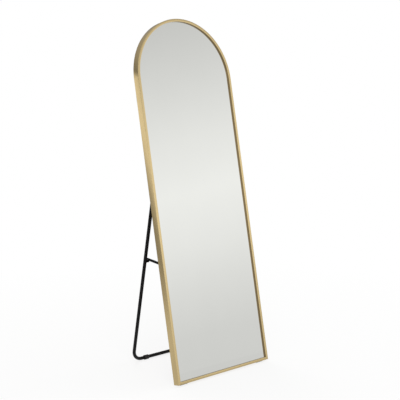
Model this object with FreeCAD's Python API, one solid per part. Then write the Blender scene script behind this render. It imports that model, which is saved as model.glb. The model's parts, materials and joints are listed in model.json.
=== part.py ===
import FreeCAD, Part
import math
import os

# Leaning floor mirror with an arched frame, a folding rear stand and two swing-up stay rods.
# Millimetres. The row frame has X across the mirror, Y to the back and Z up, on the floor plane Z = 0.
# The mirror is drawn upright in its own frame: Y = 0 is the frame's rear face, the front is negative Y,
# and Z = 0 is the frame's bottom edge. The stand is drawn about its hinge axis with its legs along -Z.

Vector = FreeCAD.Vector

# Overall mirror
mirror_width = 560.0
mirror_height = 1650.0
lean_angle = 11.5

# Frame extrusion
frame_depth = 35.0
frame_face = 12.5
frame_wall = 1.6
frame_edge_radius = 1.2
lip_depth = 8.0
lip_edge_radius = 0.7
rib_width = 9.0
flange_width = 14.0

# Pane stack held between the front lip and the rib
glass_thickness = 4.0
film_thickness = 0.3
foam_thickness = 2.0
board_thickness = 4.0
pane_clearance = 1.5
setting_block_length = 40.0
setting_block_offset = 90.0

# Corner joints
corner_key_arm = 60.0
corner_key_width = 10.0
corner_key_thickness = 3.0
corner_key_clearance = 0.2
corner_screw_spots = (26.0, 48.0)

# Cross rails behind the board
rail_height = 30.0
rail_wall = 1.5
rail_end_gap = 1.4
rail_front_gap = 0.8
rail_screw_spread = 16.0

# Pan-head screws
screw_radius = 2.0
screw_head_radius = 3.8
screw_head_height = 2.2
screw_head_round = 0.9
screw_recess_width = 0.9
screw_recess_length = 4.0
screw_recess_depth = 1.2
screw_grip = 5.0
screw_hole_clearance = 0.1

# Stand hinge
hinge_height = 922.0
hinge_offset = 13.0
leg_angle = 11.4
hinge_bolt_radius = 3.0
hinge_clearance = 0.05
lug_thickness = 12.0
lug_top = 8.5
lug_end_flat = 0.8
lug_length = 16.0
lug_stem_length = 30.0
lug_stem_clearance = 0.05
lug_pin_radius = 2.0
lug_pin_stand_out = 0.2
hinge_washer_thickness = 1.0
hinge_washer_radius = 7.0
hinge_side_play = 0.15
hinge_bracket_width = 48.0
hinge_bracket_thickness = 2.5
hinge_ear_foot = 24.0
hinge_ear_radius = 9.0
ear_end_flat = 1.8
hinge_screw_spread = (34.0, 18.0)
bolt_head_across_flats = 10.0
bolt_head_height = 4.0
nut_height = 5.5
bolt_end_past_nut = 0.8

# Stand tube
leg_from_side = 55.0
tube_diameter = 16.0
tube_wall = 1.2
bend_radius = 50.0

# Rubber feet on the stand's bottom bar
stand_foot_length = 24.0
stand_foot_wall = 3.0
stand_foot_flat_cut = 0.5
stand_foot_from_leg = 78.0
stand_foot_edge_radius = 1.2

# Stay rods with an eye at the mirror and a cross peg at the leg
rod_diameter = 12.0
rod_from_leg = 29.0
rod_end_past_peg = 8.0
rod_end_round = 1.5
peg_radius = 3.0
peg_leg_clearance = 5.0
peg_end_round = 0.6
stay_height = 508.5
stay_pivot_offset = 10.0
stay_eye_thickness = 6.0
stay_eye_radius = 8.0
stay_neck_length = 10.5
stay_neck_taper = 4.0
stay_pin_radius = 3.0
stay_pin_clearance = 0.05
stay_pin_head_radius = 5.0
stay_pin_head_height = 1.8
stay_pin_head_round = 0.8
stay_side_play = 0.15
stay_ear_thickness = 2.5
stay_ear_foot = 22.0
stay_ear_radius = 8.0
stay_bracket_width = 42.0
stay_bracket_thickness = 2.5
stay_screw_spread = 30.0

# Seats on the legs that the rods' pegs rest in, level when the mirror stands
catch_drop = 400.0
catch_set_back = 15.0
catch_weld_depth = 0.8
catch_rod_clearance = 2.5
catch_shelf_gap = 0.6
catch_tooth_gap = 1.5
catch_front_reach = 20.0
catch_rear_reach = 5.0
catch_shelf_depth = 6.0
catch_tooth_rise = 4.0
catch_corner_radius = 1.5

# Wall hangers on the side rails
hanger_below_arch = 90.0
hanger_width = 42.0
hanger_tall = 36.0
hanger_thickness = 2.0
hanger_corner_radius = 4.0
hanger_hole_radius = 5.0
hanger_hole_from_side = 29.0
hanger_slot_radius = 2.5
hanger_slot_rise = 12.0
hanger_hole_drop = 5.0
hanger_screw_spread = 22.0

# Rubber feet under the frame
foot_lift = 3.0
foot_length = 42.0
foot_from_side = 22.0
foot_rear_gap = 1.5
foot_width = 16.0
foot_side_slope = 1.0
foot_edge_radius = 1.0
foot_screw_cover = 1.5
foot_screw_head_clearance = 0.3
foot_screw_length = 5.0

# Sizes that follow from the ones above
half_width = mirror_width / 2
arch_centre = mirror_height - half_width
hanger_height = arch_centre - hanger_below_arch
pane_inset = frame_wall + pane_clearance
glass_front = lip_depth - frame_depth
glass_back = glass_front + glass_thickness
film_back = glass_back + film_thickness
foam_back = film_back + foam_thickness
board_back = foam_back + board_thickness
rib_back = board_back + frame_wall
flange_front = -frame_wall
flange_middle = (frame_wall + flange_width) / 2
rail_front = rib_back + rail_front_gap
rail_half_length = half_width - frame_wall - rail_end_gap

tube_radius = tube_diameter / 2
tube_bore_radius = tube_radius - tube_wall
rod_radius = rod_diameter / 2
leg_x = leg_from_side - half_width
rod_x = leg_x + rod_from_leg
opening_angle = lean_angle + leg_angle
stand_foot_radius = tube_radius + stand_foot_wall
bar_height = stand_foot_radius - stand_foot_flat_cut

lean_sin = math.sin(math.radians(lean_angle))
lean_cos = math.cos(math.radians(lean_angle))
leg_sin = math.sin(math.radians(leg_angle))
leg_cos = math.cos(math.radians(leg_angle))
opening_sin = math.sin(math.radians(opening_angle))
opening_cos = math.cos(math.radians(opening_angle))

hinge_rise = foot_lift + hinge_height * lean_cos - hinge_offset * lean_sin
hinge_run = hinge_height * lean_sin + hinge_offset * lean_cos
leg_length = (hinge_rise - bar_height) / leg_cos
front_reach = (frame_depth - frame_edge_radius) * lean_cos + frame_edge_radius * (1 - lean_sin)
rear_reach = hinge_run + leg_length * leg_sin + stand_foot_radius
row_shift = (front_reach - rear_reach) / 2
bar_y = row_shift + hinge_run + leg_length * leg_sin

# The rod's peg, found in the mirror's frame from its seat on the open leg
peg_y = hinge_offset + catch_drop * opening_sin + catch_set_back * opening_cos
peg_z = hinge_height - catch_drop * opening_cos + catch_set_back * opening_sin
stay_length = math.hypot(peg_y - stay_pivot_offset, peg_z - stay_height)
stay_slope = math.degrees(math.atan2(peg_z - stay_height, peg_y - stay_pivot_offset))


def place_mirror(shape):
    """Lean a shape of the mirror's frame back and set it on its feet in the row frame."""
    shape.rotate(Vector(0, 0, 0), Vector(1, 0, 0), -lean_angle)
    shape.translate(Vector(0, row_shift, foot_lift))
    return shape


def place_stand(shape):
    """Open a shape of the stand's frame to its standing angle and hang it on the hinge axis."""
    shape.rotate(Vector(0, 0, 0), Vector(1, 0, 0), leg_angle)
    shape.translate(Vector(0, row_shift + hinge_run, hinge_rise))
    return shape


def mirrored(shape):
    """The same shape on the other side of the middle plane."""
    return shape.mirror(Vector(0, 0, 0), Vector(1, 0, 0))


def pair(shape):
    """A shape and its twin on the other side."""
    return [shape, mirrored(shape)]


def box(x_range, y_range, z_range):
    """A box between the ends of three ranges."""
    low = Vector(x_range[0], y_range[0], z_range[0])
    return Part.makeBox(x_range[1] - x_range[0], y_range[1] - y_range[0], z_range[1] - z_range[0], low)


def bar_along_x(radius, x_range, y, z):
    """A round bar along X."""
    return Part.makeCylinder(radius, x_range[1] - x_range[0], Vector(x_range[0], y, z), Vector(1, 0, 0))


def bar_along_y(radius, y_range, x, z):
    """A round bar along Y."""
    return Part.makeCylinder(radius, y_range[1] - y_range[0], Vector(x, y_range[0], z), Vector(0, 1, 0))


def outline_face(corners, place):
    """A flat face through rounded corners (a, b, radius); place(a, b) sets a corner in space."""
    starts, middles, ends = [], [], []
    for number, (a, b, radius) in enumerate(corners):
        corner = Vector(a, b, 0)
        before = corners[number - 1]
        after = corners[(number + 1) % len(corners)]
        to_before = (Vector(before[0], before[1], 0) - corner).normalize()
        to_after = (Vector(after[0], after[1], 0) - corner).normalize()
        half_angle = to_before.getAngle(to_after) / 2
        starts.append(corner + to_before * (radius / math.tan(half_angle)))
        ends.append(corner + to_after * (radius / math.tan(half_angle)))
        inward = (to_before + to_after).normalize()
        middles.append(corner + inward * (radius / math.sin(half_angle) - radius))
    edges = []
    for number, (a, b, radius) in enumerate(corners):
        start, middle, end = (place(p.x, p.y) for p in (starts[number], middles[number], ends[number]))
        if radius > 0:
            edges.append(Part.Arc(start, middle, end).toShape())
        following = starts[(number + 1) % len(corners)]
        edges.append(Part.makeLine(end, place(following.x, following.y)))
    return Part.Face(Part.Wire(edges))


def plate_across_x(corners, x_range):
    """A plate with its outline in Y and Z, thick along X."""
    face = outline_face(corners, lambda y, z: Vector(x_range[0], y, z))
    return face.extrude(Vector(x_range[1] - x_range[0], 0, 0))


def plate_across_y(corners, y_range):
    """A plate with its outline in X and Z, thick along Y."""
    face = outline_face(corners, lambda x, z: Vector(x, y_range[0], z))
    return face.extrude(Vector(0, y_range[1] - y_range[0], 0))


def hexagon_along_x(across_flats, x_range, y, z):
    """A six-sided bar along X with two flats facing up and down."""
    reach = across_flats / math.sqrt(3)
    corners = []
    for step in range(6):
        angle = math.radians(60 * step)
        corners.append((y + reach * math.cos(angle), z + reach * math.sin(angle), 0))
    return plate_across_x(corners, x_range)


def screw(length):
    """A pan-head screw on the plane Z = 0 with its head up, its shank down and a cross recess."""
    head = Part.makeCylinder(screw_head_radius, screw_head_height)
    top_edges = [edge for edge in head.Edges if edge.BoundBox.ZMin > screw_head_height / 2]
    head = head.makeFillet(screw_head_round, top_edges)
    shank = Part.makeCylinder(screw_radius, length, Vector(0, 0, -length))
    half_long, half_wide = screw_recess_length / 2, screw_recess_width / 2
    depth_range = (screw_head_height - screw_recess_depth, screw_head_height)
    slots = box((-half_long, half_long), (-half_wide, half_wide), depth_range).fuse(
        box((-half_wide, half_wide), (-half_long, half_long), depth_range))
    return head.fuse(shank).cut(slots)


def rear_screws(spots, seat, length):
    """Screws driven forward through a rear surface at Y = seat, one at each (x, z) spot."""
    shapes = []
    for x, z in spots:
        shape = screw(length)
        shape.rotate(Vector(0, 0, 0), Vector(1, 0, 0), -90)
        shape.translate(Vector(x, seat, z))
        shapes.append(shape)
    return shapes


def drilled(shape, spots, y_range, radius):
    """A shape with round holes along Y at the (x, z) spots."""
    holes = [bar_along_y(radius, y_range, x, z) for x, z in spots]
    return shape.cut(holes)


def both_sides(spots):
    """Spots on the left side together with their twins on the right."""
    return list(spots) + [(-x, z) for x, z in spots]


def arched_sheet(y_range):
    """One layer of the pane stack, cut to the frame's inside."""
    side = half_width - pane_inset
    y = y_range[0]
    low_left = Vector(-side, y, pane_inset)
    low_right = Vector(side, y, pane_inset)
    high_right = Vector(side, y, arch_centre)
    high_left = Vector(-side, y, arch_centre)
    crown = Part.Arc(high_right, Vector(0, y, arch_centre + side), high_left).toShape()
    lines = [Part.makeLine(low_left, low_right), Part.makeLine(low_right, high_right)]
    face = Part.Face(Part.Wire(lines + [crown, Part.makeLine(high_left, low_left)]))
    return face.extrude(Vector(0, y_range[1] - y_range[0], 0))


def swept_tube(radius, edges, start, direction):
    """A round bar that follows joined lines and arcs."""
    ring = Part.Wire([Part.makeCircle(radius, start, direction)])
    return Part.Wire(edges).makePipeShell([ring], True, True)


# Screw places on the frame's rear, as (x, z)
side_screw_x = -half_width + flange_middle
corner_spots = [(side_screw_x, spot) for spot in corner_screw_spots]
corner_spots += [(-half_width + spot, flange_middle) for spot in corner_screw_spots]
corner_spots = both_sides(corner_spots)
rail_spots = []
for rail_z in (hinge_height, stay_height):
    for offset in (-rail_screw_spread / 2, rail_screw_spread / 2):
        rail_spots.append((side_screw_x, rail_z + offset))
rail_spots = both_sides(rail_spots)
hanger_spots = []
for offset in (-hanger_screw_spread / 2, hanger_screw_spread / 2):
    hanger_spots.append((side_screw_x, hanger_height + offset))
hanger_spots = both_sides(hanger_spots)
hinge_spots = []
for across in (-hinge_screw_spread[0] / 2, hinge_screw_spread[0] / 2):
    for along in (-hinge_screw_spread[1] / 2, hinge_screw_spread[1] / 2):
        hinge_spots.append((leg_x + across, hinge_height + along))
hinge_spots = both_sides(hinge_spots)
stay_spots = []
for across in (-stay_screw_spread / 2, stay_screw_spread / 2):
    stay_spots.append((rod_x + across, stay_height))
stay_spots = both_sides(stay_spots)
foot_screw_y = (rib_back + flange_front) / 2
foot_screw_x = -half_width + foot_from_side + foot_length / 2
screw_hole_radius = screw_radius + screw_hole_clearance


def frame_section():
    """Corners of the extrusion's section, as (inward from the outer edge, Y, corner radius)."""
    return [
        (0, 0, frame_edge_radius),
        (0, -frame_depth, frame_edge_radius),
        (frame_face, -frame_depth, lip_edge_radius),
        (frame_face, glass_front, 0),
        (frame_face - frame_wall, glass_front, 0),
        (frame_face - frame_wall, frame_wall - frame_depth, 0),
        (frame_wall, frame_wall - frame_depth, 0),
        (frame_wall, board_back, 0),
        (rib_width, board_back, 0),
        (rib_width, rib_back, 0),
        (frame_wall, rib_back, 0),
        (frame_wall, flange_front, 0),
        (flange_width, flange_front, 0),
        (flange_width, 0, 0),
    ]


def mitre_wedge(below):
    """The triangle on one side of the left corner's mitre plane, past the section on every side."""
    reach = frame_face + flange_width
    left, low = -half_width - reach, -reach
    right, high = -half_width + reach, reach
    third = (right, low, 0) if below else (left, high, 0)
    return plate_across_y([(left, low, 0), (right, high, 0), third], (-frame_depth - reach, reach))


def make_hoop():
    """Both sides and the arch, bent from one length of extrusion."""
    section = frame_section()
    foot = outline_face(section, lambda inward, y: Vector(inward - half_width, y, 0))
    spring = outline_face(section, lambda inward, y: Vector(inward - half_width, y, arch_centre))
    side = foot.extrude(Vector(0, 0, arch_centre)).cut(mitre_wedge(True))
    arch = spring.revolve(Vector(0, 0, arch_centre), Vector(0, 1, 0), 180)
    hoop = side.fuse([arch, mirrored(side)]).removeSplitter()
    rear_holes = [spot for spot in corner_spots if spot[1] > flange_width] + rail_spots + hanger_spots
    return drilled(hoop, rear_holes, (flange_front, 0), screw_hole_radius)


def make_bottom_rail():
    """The straight length across the bottom, mitred to the hoop."""
    section = outline_face(frame_section(), lambda inward, y: Vector(-half_width, y, inward))
    wedge = mitre_wedge(False)
    rail = section.extrude(Vector(mirror_width, 0, 0)).cut([wedge, mirrored(wedge)])
    rear_holes = [spot for spot in corner_spots if spot[1] < flange_width]
    rail = drilled(rail, rear_holes, (flange_front, 0), screw_hole_radius)
    for x in (foot_screw_x, -foot_screw_x):
        rail = rail.cut(Part.makeCylinder(screw_hole_radius, frame_wall, Vector(x, foot_screw_y, 0)))
    return rail


def make_corner_key():
    """A flat steel angle that joins the hoop and the bottom rail behind the rear flange."""
    near = frame_wall + corner_key_clearance
    far = near + corner_key_width
    arm = corner_key_arm
    corners = [(near, near), (arm, near), (arm, far), (far, far), (far, arm), (near, arm)]
    outline = [(x - half_width, z, 0) for x, z in corners]
    key = plate_across_y(outline, (flange_front - corner_key_thickness, flange_front))
    spots = [spot for spot in corner_spots if spot[0] < 0]
    return drilled(key, spots, (flange_front - corner_key_thickness, flange_front), screw_hole_radius)


def make_setting_block():
    """A rubber block that carries the glass clear of the bottom rail."""
    left = -half_width + setting_block_offset
    return box((left, left + setting_block_length), (glass_front, board_back), (frame_wall, pane_inset))


def make_cross_rail(height, bracket_spots):
    """A rectangular tube across the back, held by its ends behind the rear flanges."""
    x_range = (-rail_half_length, rail_half_length)
    rail = box(x_range, (rail_front, flange_front), (height - rail_height / 2, height + rail_height / 2))
    inside_y = (rail_front + rail_wall, flange_front - rail_wall)
    half_inside = rail_height / 2 - rail_wall
    rail = rail.cut(box(x_range, inside_y, (height - half_inside, height + half_inside)))
    spots = bracket_spots + [spot for spot in rail_spots if abs(spot[1] - height) < rail_height / 2]
    return drilled(rail, spots, (flange_front - rail_wall, flange_front), screw_hole_radius)


def make_clevis(x, height, axis_offset, half_gap, ear, base, hole_radius, screw_spots):
    """A bracket with two ears about a pivot along X.

    The ear is given as (thickness, foot, radius) and the base as (width, thickness).
    """
    ear_thickness, ear_foot, ear_radius = ear
    base_width, base_thickness = base
    base_range = (flange_front, flange_front + base_thickness)
    half_base = base_width / 2
    half_tall = rail_height / 2
    corner_radius = base_thickness
    plate = [
        (x - half_base, height - half_tall, corner_radius),
        (x + half_base, height - half_tall, corner_radius),
        (x + half_base, height + half_tall, corner_radius),
        (x - half_base, height + half_tall, corner_radius),
    ]
    bracket = plate_across_y(plate, base_range)
    bracket = drilled(bracket, screw_spots, base_range, screw_hole_radius)
    ear_top = axis_offset + ear_radius
    ear_corner_radius = ear_radius - ear_end_flat / 2
    ear_corners = [
        (flange_front, height - ear_foot / 2, 0),
        (ear_top, height - ear_radius, ear_corner_radius),
        (ear_top, height + ear_radius, ear_corner_radius),
        (flange_front, height + ear_foot / 2, 0),
    ]
    for side in (-1, 1):
        inner, outer = x + side * half_gap, x + side * (half_gap + ear_thickness)
        bracket = bracket.fuse(plate_across_x(ear_corners, (min(inner, outer), max(inner, outer))))
    reach = half_gap + ear_thickness
    bracket = bracket.cut(bar_along_x(hole_radius, (x - reach, x + reach), axis_offset, height))
    return bracket.removeSplitter()


# Places along the hinge bolt, measured out from the leg's middle
lug_half = lug_thickness / 2
washer_inner = lug_half + hinge_side_play
hinge_ear_inner = washer_inner + hinge_washer_thickness
hinge_ear_outer = hinge_ear_inner + hinge_bracket_thickness
hinge_hole_radius = hinge_bolt_radius + hinge_clearance
hinge_ear = (hinge_bracket_thickness, hinge_ear_foot, hinge_ear_radius)
hinge_base = (hinge_bracket_width, hinge_bracket_thickness)

# Places along the stay's pivot pin, measured out from the rod's middle
stay_ear_inner = stay_eye_thickness / 2 + stay_side_play
stay_ear_outer = stay_ear_inner + stay_ear_thickness
stay_hole_radius = stay_pin_radius + stay_pin_clearance
stay_ear = (stay_ear_thickness, stay_ear_foot, stay_ear_radius)
stay_base = (stay_bracket_width, stay_bracket_thickness)


def make_hinge_bolt():
    """A hexagon-head bolt through the left hinge, its head on the outer side."""
    head_range = (leg_x - hinge_ear_outer - bolt_head_height, leg_x - hinge_ear_outer)
    end = leg_x + hinge_ear_outer + nut_height + bolt_end_past_nut
    head = hexagon_along_x(bolt_head_across_flats, head_range, hinge_offset, hinge_height)
    return head.fuse(bar_along_x(hinge_bolt_radius, (head_range[1], end), hinge_offset, hinge_height))


def make_hinge_nut():
    """The lock nut on the bolt's inner end."""
    nut_range = (leg_x + hinge_ear_outer, leg_x + hinge_ear_outer + nut_height)
    nut = hexagon_along_x(bolt_head_across_flats, nut_range, hinge_offset, hinge_height)
    return nut.cut(bar_along_x(hinge_bolt_radius, nut_range, hinge_offset, hinge_height))


def make_hinge_washers():
    """Plastic washers between the left bracket's ears and the leg's lug."""
    washers = []
    outer_range = (leg_x - hinge_ear_inner, leg_x - washer_inner)
    inner_range = (leg_x + washer_inner, leg_x + hinge_ear_inner)
    for x_range in (outer_range, inner_range):
        washer = bar_along_x(hinge_washer_radius, x_range, hinge_offset, hinge_height)
        washers.append(washer.cut(bar_along_x(hinge_hole_radius, x_range, hinge_offset, hinge_height)))
    return washers


def make_stay_pin():
    """A headed pin that the left rod's eye turns on."""
    x_range = (rod_x - stay_ear_outer, rod_x + stay_ear_outer)
    pin = bar_along_x(stay_pin_radius, x_range, stay_pivot_offset, stay_height)
    for side in (-1, 1):
        near, far = rod_x + side * stay_ear_outer, rod_x + side * (stay_ear_outer + stay_pin_head_height)
        head_range = (min(near, far), max(near, far))
        head = bar_along_x(stay_pin_head_radius, head_range, stay_pivot_offset, stay_height)
        rim = [edge for edge in head.Edges if abs(edge.BoundBox.Center.x - far) < stay_pin_head_round]
        pin = pin.fuse(head.makeFillet(stay_pin_head_round, rim))
    return pin


def make_hanger():
    """A keyhole plate on the left side rail, for hanging the mirror on wall screws."""
    left, right = -half_width + frame_wall, -half_width + frame_wall + hanger_width
    low, high = hanger_height - hanger_tall / 2, hanger_height + hanger_tall / 2
    corners = [(left, low), (right, low), (right, high), (left, high)]
    plate = plate_across_y([(x, z, hanger_corner_radius) for x, z in corners], (0, hanger_thickness))
    hole_x, hole_z = -half_width + hanger_hole_from_side, hanger_height - hanger_hole_drop
    slot_top = hole_z + hanger_slot_rise
    y_range = (0, hanger_thickness)
    slot = box((hole_x - hanger_slot_radius, hole_x + hanger_slot_radius), y_range, (hole_z, slot_top))
    slot = slot.fuse(bar_along_y(hanger_slot_radius, y_range, hole_x, slot_top))
    plate = plate.cut(slot.fuse(bar_along_y(hanger_hole_radius, y_range, hole_x, hole_z)))
    spots = [spot for spot in hanger_spots if spot[0] < 0]
    return drilled(plate, spots, y_range, screw_hole_radius)


def make_frame_foot():
    """A rubber wedge under the left end of the bottom rail, flat on the floor, in the row frame."""
    top_rear, top_front = -foot_rear_gap, -foot_rear_gap - foot_width
    rear_y, rear_z = row_shift + top_rear * lean_cos, foot_lift - top_rear * lean_sin
    front_y, front_z = row_shift + top_front * lean_cos, foot_lift - top_front * lean_sin
    left = -half_width + foot_from_side
    wedge = plate_across_x([
        (rear_y, rear_z, 0),
        (front_y, front_z, 0),
        (front_y + foot_side_slope, 0, foot_edge_radius),
        (rear_y - foot_side_slope, 0, foot_edge_radius),
    ], (left, left + foot_length))
    recess_radius = screw_head_radius + foot_screw_head_clearance
    hole_end = Vector(foot_screw_x, foot_screw_y, -foot_screw_cover)
    well_end = hole_end - Vector(0, 0, foot_width)
    well = Part.makeCylinder(recess_radius, foot_width, well_end)
    hole = Part.makeCylinder(screw_hole_radius, foot_screw_cover, hole_end)
    return wedge.cut(place_mirror(well.fuse(hole)))


def make_foot_screw():
    """The screw that holds the left wedge to the bottom rail, its head sunk in the rubber."""
    shape = screw(foot_screw_length)
    shape.rotate(Vector(0, 0, 0), Vector(1, 0, 0), 180)
    shape.translate(Vector(foot_screw_x, foot_screw_y, -foot_screw_cover))
    return shape


def stand_path():
    """The bent tube's centre line in the stand's frame, from the left leg's top to the right leg's top."""
    bend_top = bend_radius - leg_length
    inset = bend_radius * (1 - math.cos(math.radians(45)))
    left_top, left_low = Vector(leg_x, 0, -lug_length), Vector(leg_x, 0, bend_top)
    bar_left = Vector(leg_x + bend_radius, 0, -leg_length)
    left_mid = Vector(leg_x + inset, 0, inset - leg_length)
    bar_right = Vector(-bar_left.x, 0, -leg_length)
    right_mid = Vector(-left_mid.x, 0, left_mid.z)
    right_low, right_top = Vector(-leg_x, 0, bend_top), Vector(-leg_x, 0, -lug_length)
    return [
        Part.makeLine(left_top, left_low),
        Part.Arc(left_low, left_mid, bar_left).toShape(),
        Part.makeLine(bar_left, bar_right),
        Part.Arc(bar_right, right_mid, right_low).toShape(),
        Part.makeLine(right_low, right_top),
    ]


lug_pin_z = -lug_length - lug_stem_length / 2


def lug_pin_bar(radius, reach):
    """A bar along X through the left leg where its lug is pinned."""
    return bar_along_x(radius, (leg_x - reach, leg_x + reach), 0, lug_pin_z)


def make_stand_tube():
    """The bent steel tube with its pin holes."""
    start = Vector(leg_x, 0, -lug_length)
    down = Vector(0, 0, -1)
    tube = swept_tube(tube_radius, stand_path(), start, down)
    tube = tube.cut(swept_tube(tube_bore_radius, stand_path(), start, down))
    return tube.cut(pair(lug_pin_bar(lug_pin_radius, tube_diameter)))


def make_lug():
    """The hinge lug: a flat tab between the bracket's ears and a stem inside the left leg."""
    corners = [
        (-tube_radius, -lug_length, 0),
        (tube_radius, -lug_length, 0),
        (tube_radius, lug_top, tube_radius - lug_end_flat / 2),
        (-tube_radius, lug_top, tube_radius - lug_end_flat / 2),
    ]
    tab = plate_across_x(corners, (leg_x - lug_half, leg_x + lug_half))
    stem_radius = tube_bore_radius - lug_stem_clearance
    stem = Part.makeCylinder(stem_radius, lug_stem_length, Vector(leg_x, 0, -lug_length - lug_stem_length))
    lug = tab.fuse(stem).cut(bar_along_x(hinge_hole_radius, (leg_x - lug_half, leg_x + lug_half), 0, 0))
    return lug.cut(lug_pin_bar(lug_pin_radius, tube_diameter))


def make_catch():
    """The seat welded on the left leg: a front tooth and a shelf, open to the rear and above."""
    shelf = -peg_radius - catch_shelf_gap
    tooth = -peg_radius - catch_tooth_gap
    under = shelf - catch_shelf_depth
    round_off = catch_corner_radius
    corners = [
        (-catch_front_reach, under, round_off),
        (catch_rear_reach, under, round_off),
        (catch_rear_reach, shelf, round_off),
        (tooth, shelf, 0),
        (tooth, catch_tooth_rise, round_off),
        (-catch_front_reach, catch_tooth_rise, round_off),
    ]
    x_range = (leg_x + tube_radius - catch_weld_depth, rod_x - rod_radius - catch_rod_clearance)
    seat = plate_across_x(corners, x_range)
    seat.rotate(Vector(0, 0, 0), Vector(1, 0, 0), -leg_angle)
    seat.translate(Vector(0, catch_set_back, -catch_drop))
    half_leg = catch_front_reach + catch_rear_reach
    leg = Part.makeCylinder(tube_radius, 2 * half_leg, Vector(leg_x, 0, -catch_drop - half_leg))
    return seat.cut(leg)


def make_stand_foot():
    """A rubber sleeve on the bottom bar with a flat underside, in the row frame."""
    middle = leg_x + stand_foot_from_leg
    x_range = (middle - stand_foot_length / 2, middle + stand_foot_length / 2)
    sleeve = bar_along_x(stand_foot_radius, x_range, bar_y, bar_height)
    rims = [edge for edge in sleeve.Edges if abs(edge.BoundBox.Center.x - middle) > stand_foot_length / 4]
    sleeve = sleeve.makeFillet(stand_foot_edge_radius, rims)
    sleeve = sleeve.cut(bar_along_x(tube_radius, x_range, bar_y, bar_height))
    under = box(x_range, (bar_y - stand_foot_radius, bar_y + stand_foot_radius), (-stand_foot_radius, 0))
    return sleeve.cut(under)


def place_stay(shape):
    """Turn a shape of the left rod, drawn along Y from its eye, to its slope, and set it on its pivot."""
    shape.rotate(Vector(0, 0, 0), Vector(1, 0, 0), stay_slope)
    shape.translate(Vector(rod_x, stay_pivot_offset, stay_height))
    return shape


def make_stay_rod():
    """The left stay rod: a flattened eye, a straight rod and a cross hole for its peg."""
    half_eye = stay_eye_thickness / 2
    rod_start = stay_neck_length + stay_neck_taper
    rod_end = stay_length + rod_end_past_peg
    rod = bar_along_y(rod_radius, (rod_start, rod_end), 0, 0)
    end_rim = [edge for edge in rod.Edges if edge.BoundBox.YMin > stay_length]
    rod = rod.makeFillet(rod_end_round, end_rim)
    neck_end = Vector(0, stay_neck_length, 0)
    neck = Part.makeCone(half_eye, rod_radius, stay_neck_taper, neck_end, Vector(0, 1, 0))
    eye = bar_along_x(stay_eye_radius, (-half_eye, half_eye), 0, 0)
    strap = box((-half_eye, half_eye), (0, rod_start), (-half_eye, half_eye))
    stay = rod.fuse([neck, strap, eye])
    stay = stay.cut(bar_along_x(stay_hole_radius, (-half_eye, half_eye), 0, 0))
    stay = stay.cut(bar_along_x(peg_radius, (-rod_diameter, rod_diameter), stay_length, 0))
    return place_stay(stay.removeSplitter())


def make_stay_peg():
    """The peg pressed through the left rod's end, which rests in the seat on the leg."""
    tip = tube_radius + peg_leg_clearance - rod_from_leg
    peg = bar_along_x(peg_radius, (tip, rod_radius), stay_length, 0)
    rims = [edge for edge in peg.Edges if edge.BoundBox.XLength < peg_radius]
    return place_stay(peg.makeFillet(peg_end_round, rims))


# Build every piece in the row frame
hinge_bracket = make_clevis(
    leg_x, hinge_height, hinge_offset, hinge_ear_inner, hinge_ear, hinge_base, hinge_hole_radius,
    [spot for spot in hinge_spots if spot[0] < 0])
stay_bracket = make_clevis(
    rod_x, stay_height, stay_pivot_offset, stay_ear_inner, stay_ear, stay_base, stay_hole_radius,
    [spot for spot in stay_spots if spot[0] < 0])

mirror_pieces = {
    "frame_hoop": [make_hoop()],
    "frame_bottom_rail": [make_bottom_rail()],
    "corner_screws": rear_screws(corner_spots, 0, screw_grip),
    "setting_blocks": pair(make_setting_block()),
    "mirror_glass": [arched_sheet((glass_front, glass_back))],
    "safety_film": [arched_sheet((glass_back, film_back))],
    "foam_sheet": [arched_sheet((film_back, foam_back))],
    "back_board": [arched_sheet((foam_back, board_back))],
    "upper_cross_rail": [make_cross_rail(hinge_height, hinge_spots)],
    "lower_cross_rail": [make_cross_rail(stay_height, stay_spots)],
    "rail_screws": rear_screws(rail_spots, 0, screw_grip),
    "hinge_bracket_screws": rear_screws(hinge_spots, flange_front + hinge_bracket_thickness, screw_grip),
    "stay_bracket_screws": rear_screws(stay_spots, flange_front + stay_bracket_thickness, screw_grip),
    "hinge_bolts": pair(make_hinge_bolt()),
    "hinge_nuts": pair(make_hinge_nut()),
    "hinge_washers": make_hinge_washers() + [mirrored(washer) for washer in make_hinge_washers()],
    "stay_pins": pair(make_stay_pin()),
    "hanger_screws": rear_screws(hanger_spots, hanger_thickness, screw_grip),
    "frame_foot_screws": pair(make_foot_screw()),
}
mirror_pairs = {
    "corner_key": make_corner_key(),
    "hinge_bracket": hinge_bracket,
    "stay_bracket": stay_bracket,
    "hanger_plate": make_hanger(),
    "stay_rod": make_stay_rod(),
    "stay_peg": make_stay_peg(),
}
stand_pieces = {
    "stand_tube": [make_stand_tube()],
    "lug_pins": pair(lug_pin_bar(lug_pin_radius, tube_radius + lug_pin_stand_out)),
}
stand_pairs = {
    "leg_lug": make_lug(),
    "stay_catch": make_catch(),
}
row_pairs = {
    "frame_foot": make_frame_foot(),
    "stand_foot": make_stand_foot(),
}

nodes = {}
for name, shapes in mirror_pieces.items():
    nodes[name] = [place_mirror(shape) for shape in shapes]
for name, shapes in stand_pieces.items():
    nodes[name] = [place_stand(shape) for shape in shapes]
placed_pairs = [(place_mirror, mirror_pairs), (place_stand, stand_pairs), (lambda shape: shape, row_pairs)]
for placer, pairs in placed_pairs:
    for name, shape in pairs.items():
        left, right = pair(shape)
        nodes[name + "_left"] = [placer(left)]
        nodes[name + "_right"] = [placer(right)]

os.makedirs("parts", exist_ok=True)
for name, shapes in nodes.items():
    solids = [solid for shape in shapes for solid in shape.Solids]
    whole = solids[0] if len(solids) == 1 else Part.makeCompound(solids)
    whole.exportStep("parts/" + name + ".step")
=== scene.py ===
import json
import math

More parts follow.
